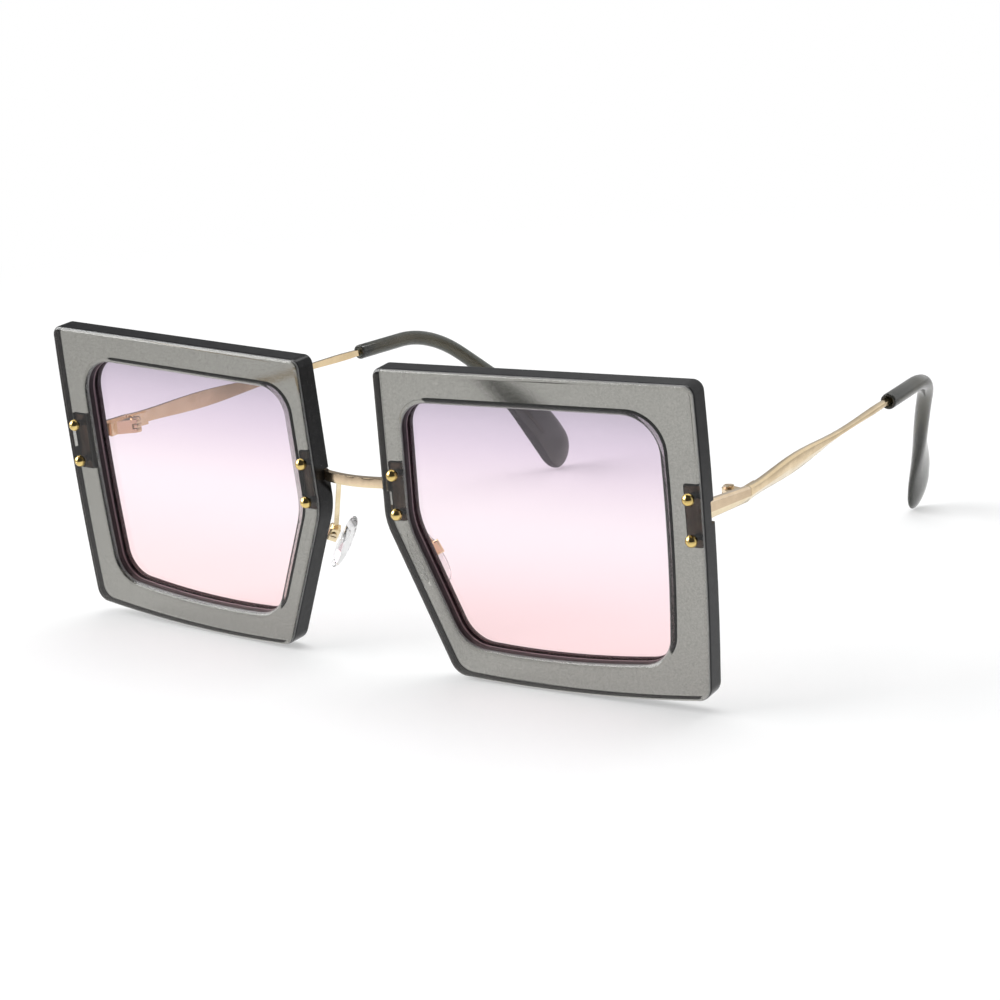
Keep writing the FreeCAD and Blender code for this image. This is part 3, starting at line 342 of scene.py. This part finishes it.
# Finishes by the record's material slots, and the nodes that have one of their own
FINISHES = {
    "smoke_plastic": make_rim_material(),
    "gradient_lens": make_lens_material(),
    "tip_plastic": make_tip_material(),
    "clear_silicone": make_pad_material("clear_silicone", low_tint=(0.95, 0.95, 0.95),
                                        density=90.0, ior=1.32),
    "core_plastic": make_pad_material("core_plastic", low_tint=(0.94, 0.94, 0.94),
                                      density=80.0, ior=1.16),
    "gold_metal": make_gold_material("gold_metal", dark=(0.74, 0.57, 0.35),
                                     light=(0.84, 0.66, 0.42), rough=(0.10, 0.22),
                                     bevel_highlight=BEVEL_HIGHLIGHT_GOLD),
    "screw_metal": make_gold_material("screw_metal", dark=(0.68, 0.56, 0.40),
                                      light=(0.78, 0.66, 0.47), rough=(0.22, 0.38)),
}
SPECIAL = {"bridge": rim_shaded_gold, "bridge_rivets": rivet_gold}
for side in SIDES:
    SPECIAL[side + "_end_piece"] = rim_shaded_gold
    SPECIAL[side + "_end_rivets"] = rivet_gold
for part in frame["record"]["subparts"]:
    piece = NODES[part["node"]]
    piece.data.materials.clear()
    piece.data.materials.append(SPECIAL.get(part["node"], FINISHES[part["material_slot"]]))


# Pieces made here: temple tips and nose pads, in millimetres on the left-hand side
MILLIMETRE = 0.001
UP = Vector((0.0, 0.0, 1.0))


def soft_step(share):
    return share * share * (3.0 - 2.0 * share)


def make_piece(name, rings, mirrored, slot_name, body, node):
    """Closed smooth skin through rings of points, standing for one node of the frame."""
    count = len(rings[0])
    flip = -1.0 if mirrored else 1.0
    points = [(flip * point.x * MILLIMETRE, point.y * MILLIMETRE, point.z * MILLIMETRE)
              for ring in rings for point in ring]
    faces = [[row * count + column, row * count + (column + 1) % count,
              (row + 1) * count + (column + 1) % count, (row + 1) * count + column]
             for row in range(len(rings) - 1) for column in range(count)]
    last = (len(rings) - 1) * count
    faces += [list(range(count))[::-1], list(range(last, last + count))]
    if mirrored:
        faces = [face[::-1] for face in faces]
    mesh = bpy.data.meshes.new(name)
    mesh.from_pydata(points, [], faces)
    mesh.polygons.foreach_set("use_smooth", [True] * len(mesh.polygons))
    mesh.materials.append(FINISHES[slot_name])
    piece = bpy.data.objects.new(name, mesh)
    scene.collection.objects.link(piece)
    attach(piece, body)
    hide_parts(node)


class TipLine:
    """Middle line of a temple tip: straight sleeve, bend down and in, long sag to the table.

    It is laid out from the hinge, with +Y back along the temple, and its rings are then toed in
    and moved to the hinge's place on the object.
    """
    HINGE = Vector((70.9084, -52.5234, 37.0835))
    # Toe-in of the temple, rise of its blade, heading and dive of the tail, twist of the paddle
    TOE_IN, RISE, TURN, PITCH, TWIST = map(math.radians, (6.0, 0.23, 25.2, 37.8, 26.5))
    # Start of the line, length from there to the sleeve's mouth, and the sleeve's straight run
    FOOT = Vector((3.55, 0.0, 0.3))
    MOUTH, RUN = 71.2, 14.2
    # Radius of the bend, radius of the tail, and height of the line's end over the table
    BEND, SAG, LIFT = 23.0, 92.0, 0.32
    # Radius of the sleeve; half width, half thickness and sideways shift of the paddle
    SLEEVE, BROAD, THIN, OFFSET = 1.65, 5.5, 1.4, 0.9
    # Shares of the tail at which the paddle is full and at which its end starts to close
    WIDENED, CLOSING = 0.82, 0.86
    WIDENING_POWER = 1.5
    # Depth and radius of the rings from the bore out over the rounded mouth
    MOUTH_RINGS = ((3.0, 0.88), (0.5, 0.96), (0.14, 1.03), (0.0, 1.16), (0.0, 1.36),
                   (0.08, 1.54), (0.20, 1.62), (0.45, SLEEVE), (RUN * 0.5, SLEEVE))
    # Points round a ring, steps along the bend and the tail, and degrees round the closing end
    RING_POINTS, BEND_STEPS, TAIL_STEPS = 40, 16, 36
    END_DEGREES = (8, 16, 24, 32, 40, 48, 56, 64, 71, 77, 82, 86, 88.5)

    def __init__(self):
        self.lead = Vector((0.0, math.cos(self.RISE), math.sin(self.RISE)))
        self.heading = Vector((-math.sin(self.TURN), math.cos(self.TURN), 0.0))
        dive = self.heading * math.cos(self.PITCH) - UP * math.sin(self.PITCH)
        self.bend_angle = self.lead.angle(dive)
        self.inward = (dive - self.lead * dive.dot(self.lead)).normalized()
        self.mouth = self.FOOT + self.lead * self.MOUTH
        self.bend_start = self.mouth + self.lead * self.RUN
        self.bend_end = self.on_bend(1.0)[0]
        drop = self.HINGE.z + self.bend_end.z - self.LIFT
        self.tail_angle = math.acos(math.cos(self.PITCH) - drop / self.SAG) - self.PITCH

    def on_bend(self, share):
        """Point and direction at a share of the bend."""
        angle = self.bend_angle * share
        place = self.lead * math.sin(angle) + self.inward * (1.0 - math.cos(angle))
        forward = self.lead * math.cos(angle) + self.inward * math.sin(angle)
        return self.bend_start + place * self.BEND, forward

    def on_tail(self, share):
        """Point and direction at a share of the tail."""
        angle = self.PITCH + self.tail_angle * share
        place = (self.heading * (math.sin(angle) - math.sin(self.PITCH))
                 + UP * (math.cos(angle) - math.cos(self.PITCH)))
        forward = self.heading * math.cos(angle) - UP * math.sin(angle)
        return self.bend_end + place * self.SAG, forward

    def ring(self, station, half_broad, half_thin, twist=0.0, offset=0.0):
        """Ellipse across the line, at its place on the object."""
        centre, forward = station
        side = Matrix.Rotation(twist, 3, forward) @ forward.cross(UP).normalized()
        broad = side.cross(forward)
        centre = centre + broad * offset
        toe_in = Matrix.Rotation(self.TOE_IN, 3, "Z")
        points = []
        for number in range(self.RING_POINTS):
            angle = math.tau * number / self.RING_POINTS
            point = (centre + broad * (half_broad * math.cos(angle))
                     + side * (half_thin * math.sin(angle)))
            points.append(self.HINGE + toe_in @ point)
        return points

    def rings(self):
        """Bore and rounded mouth, sleeve, bend, and the tail that becomes a twisted paddle."""
        found = []
        for depth, radius in self.MOUTH_RINGS:
            found.append(self.ring((self.mouth + self.lead * depth, self.lead), radius, radius))
        for step in range(self.BEND_STEPS + 1):
            station = self.on_bend(step / self.BEND_STEPS)
            found.append(self.ring(station, self.SLEEVE, self.SLEEVE))
        shares = [self.CLOSING * step / self.TAIL_STEPS for step in range(1, self.TAIL_STEPS + 1)]
        shares += [self.CLOSING + (1.0 - self.CLOSING) * math.sin(math.radians(angle))
                   for angle in self.END_DEGREES]
        for share in shares:
            flat = soft_step(min(1.0, share / self.WIDENED) ** self.WIDENING_POWER)
            past = max(0.0, (share - self.CLOSING) / (1.0 - self.CLOSING))
            close = math.sqrt(1.0 - past * past)
            found.append(self.ring(self.on_tail(share),
                                   (self.SLEEVE + (self.BROAD - self.SLEEVE) * flat) * close,
                                   (self.SLEEVE + (self.THIN - self.SLEEVE) * flat) * close,
                                   self.TWIST * flat, self.OFFSET * flat * close))
        return found


# Nose pad: the point and directions of its own frame
PAD_BASE = Vector((10.85, -61.115, 22.0128))
PAD_ACROSS = Vector((-0.513438, -0.786378, -0.343497))
PAD_BEHIND = Vector((0.672451, -0.617375, 0.408237))
PAD_ALONG = Vector((-0.533096, -0.021381, 0.845785))
# Its middle across and along that frame, half length, and half widths at the foot and the top
PAD_SHIFT, PAD_MIDDLE = 1.1, -0.47
PAD_HALF_LENGTH, PAD_LOW_WIDTH, PAD_HIGH_WIDTH = 6.25, 2.85, 1.95
# Half thickness towards the nose and on the back, and the powers that round its edge and sides
PAD_CROWN, PAD_BACK = 1.25, 1.0
PAD_EDGE_POWER, PAD_SIDE_POWER = 0.55, 0.85
# Bow along the pad: its height, how far it is dropped, and the share of it that is used
PAD_BOW, PAD_BOW_DROP, PAD_BOW_SHARE = 0.35, 0.15, 0.4
# Steps from the crown to the back, and points round a ring
PAD_STEPS, PAD_POINTS = 24, 48


def nose_pad_rings():
    """Drop-shaped pad, narrower at the top, crowned towards the nose and flatter on its back."""
    rings = []
    for step in range(1, PAD_STEPS):
        turn = math.pi * step / PAD_STEPS
        spread = math.sin(turn) ** PAD_EDGE_POWER
        depth = -math.cos(turn) * (PAD_CROWN if turn < math.pi / 2 else PAD_BACK)
        ring = []
        for number in range(PAD_POINTS):
            angle = math.tau * number / PAD_POINTS
            level, swing = math.cos(angle), math.sin(angle)
            width = PAD_LOW_WIDTH + (PAD_HIGH_WIDTH - PAD_LOW_WIDTH) * (level + 1.0) / 2.0
            across = width * spread * math.copysign(abs(swing) ** PAD_SIDE_POWER, swing)
            along = PAD_HALF_LENGTH * spread * level
            bow = PAD_BOW * (1.0 - level * level) - PAD_BOW_DROP
            ring.append(PAD_BASE + PAD_ACROSS * (PAD_SHIFT + across)
                        + PAD_BEHIND * (depth - bow * PAD_BOW_SHARE)
                        + PAD_ALONG * (PAD_MIDDLE + along))
        rings.append(ring)
    return rings


for side in SIDES:
    make_piece(side + "_tip_skin", TipLine().rings(), side == "right", "tip_plastic",
               side + "_temple", side + "_temple_tip")
    make_piece(side + "_pad_skin", nose_pad_rings(), side == "right", "clear_silicone",
               side + "_pad", side + "_nose_pad")


# Bevels on the edges of the metal: the bridge's, and those of the nodes on either side
BRIDGE_BEVEL = 0.00010
SIDE_BEVELS = {"end_piece": 0.00012, "temple": 0.00010, "front_hinge_leaf": 0.00008,
               "temple_hinge_leaf": 0.00008, "pad_box": 0.00012, "pad_arm": 0.00006}
WELD_DISTANCE = 0.000002
FLAT_ANGLE, SHARP_ANGLE = math.radians(0.5), math.radians(25.0)
BEVEL_SEGMENTS = 2


def soften(node, width):
    """Break the sharp edges of a metal node so that they catch the light."""
    modifiers = NODES[node].modifiers
    modifiers.new("weld", "WELD").merge_threshold = WELD_DISTANCE
    flat = modifiers.new("flat", "DECIMATE")
    flat.decimate_type = "DISSOLVE"
    flat.angle_limit = FLAT_ANGLE
    bevel = modifiers.new("bevel", "BEVEL")
    bevel.width = width
    bevel.segments = BEVEL_SEGMENTS
    bevel.limit_method = "ANGLE"
    bevel.angle_limit = SHARP_ANGLE
    bevel.harden_normals = True


soften("bridge", BRIDGE_BEVEL)
for side in SIDES:
    for node, width in SIDE_BEVELS.items():
        soften(side + "_" + node, width)


# Table, backdrop and light
TABLE_HALF_SIZE, TABLE_LEVEL = 4.0, -0.0002
# Lamps aimed at the origin: place, width and height, and watts
LAMPS = {
    "window": ((-1.3, -0.7, 0.9), (1.4, 1.2), 26.0),
    "overhead": ((-0.2, 0.5, 1.5), (1.4, 1.0), 16.2),
}
# Glows of the studio: direction, and how nearly a ray points there where it starts and is full
GLOWS = (((0.45, 0.89, 0.0), 0.22, 0.80), ((-0.95, -0.30, 0.0), 0.45, 0.80))
STUDIO_DARK, STUDIO_LIGHT = (0.05, 0.05, 0.055), (0.95, 0.96, 0.96)


def make_floor():
    """White paper sweep: keeps the shadow near the object, goes over to plain white further off.

    In mirror images it glows as a painted reflection: a pool of white round the object that ends
    some way in front of it.
    """
    mesh = bpy.data.meshes.new("table")
    mesh.from_pydata([(x * TABLE_HALF_SIZE, y * TABLE_HALF_SIZE, TABLE_LEVEL)
                      for x, y in ((-1, -1), (1, -1), (1, 1), (-1, 1))], [], [(0, 1, 2, 3)])
    table = bpy.data.objects.new("table", mesh)
    scene.collection.objects.link(table)
    tree = Tree(bpy.data.materials.new("table_paper"))
    paper = tree.ramp(tree.noise(scale=40.0),
                      [(0.3, (0.96, 0.965, 0.965)), (0.7, (0.975, 0.975, 0.975))])
    tree.shade(Base_Color=paper, Roughness=0.6)
    ray = tree.add("LightPath").outputs
    through = ray["Is Transmission Ray"]
    seen = tree.math("MAXIMUM", ray["Is Camera Ray"], through)
    mirrored = tree.math("SUBTRACT", ray["Is Glossy Ray"], through, clamp=True)
    place = tree.place()
    reach = tree.add("VectorMath", {0: place}, operation="LENGTH").outputs["Value"]
    far = tree.remap(reach, start=0.12, end=0.45, low=0.42, high=1.0, curve="SMOOTHSTEP")
    share = tree.math("MAXIMUM", tree.math("MULTIPLY", far, seen), mirrored)
    # Painted reflection: for mirror rays the floor glows, full near the object, dimmer further
    # off, and nearly dark in front of it
    mirror_glow = tree.math("MULTIPLY",
                     tree.remap(reach, start=0.10, end=0.24, low=1.0, high=0.62,
                                curve="SMOOTHSTEP"),
                     tree.remap(tree.split(place)["Y"], start=-0.44, end=-0.34, low=0.05))
    white = tree.add("Emission", {"Color": WHITE, "Strength": tree.mix(mirrored, 1.0, mirror_glow)})
    both = tree.add("MixShader", {0: share, 1: tree.nodes["Principled BSDF"].outputs["BSDF"],
                                  2: white.outputs["Emission"]})
    tree.put(tree.nodes["Material Output"], "Surface", both.outputs["Shader"])
    mesh.materials.append(tree.owner)


def make_lamp(name, place, size, watts):
    """Soft rectangular lamp aimed at the origin."""
    lamp = bpy.data.lights.new(name, "AREA")
    lamp.shape = "RECTANGLE"
    lamp.size, lamp.size_y = size
    lamp.energy = watts
    holder = bpy.data.objects.new(name, lamp)
    aim = (-Vector(place)).to_track_quat("-Z", "Y").to_matrix().to_4x4()
    holder.matrix_world = Matrix.Translation(place) @ aim
    scene.collection.objects.link(holder)


def make_world():
    """White to the eye; in mirror images and as light, two white glows in a dark studio."""
    world = bpy.data.worlds.new("studio")
    scene.world = world
    tree = Tree(world)
    direction = tree.add("TexCoord").outputs["Generated"]
    glows = [tree.remap(tree.dot(direction, axis), start, full) for axis, start, full in GLOWS]
    studio = tree.ramp(tree.math("MAXIMUM", *glows), [(0.0, STUDIO_DARK), (1.0, STUDIO_LIGHT)])
    ray = tree.add("LightPath").outputs
    seen = tree.math("MAXIMUM", ray["Is Camera Ray"], ray["Is Transmission Ray"])
    tree.put(tree.nodes["Background"], "Color", tree.blend(seen, studio, WHITE))


make_floor()
for name, (place, size, watts) in LAMPS.items():
    make_lamp(name, place, size, watts)
make_world()
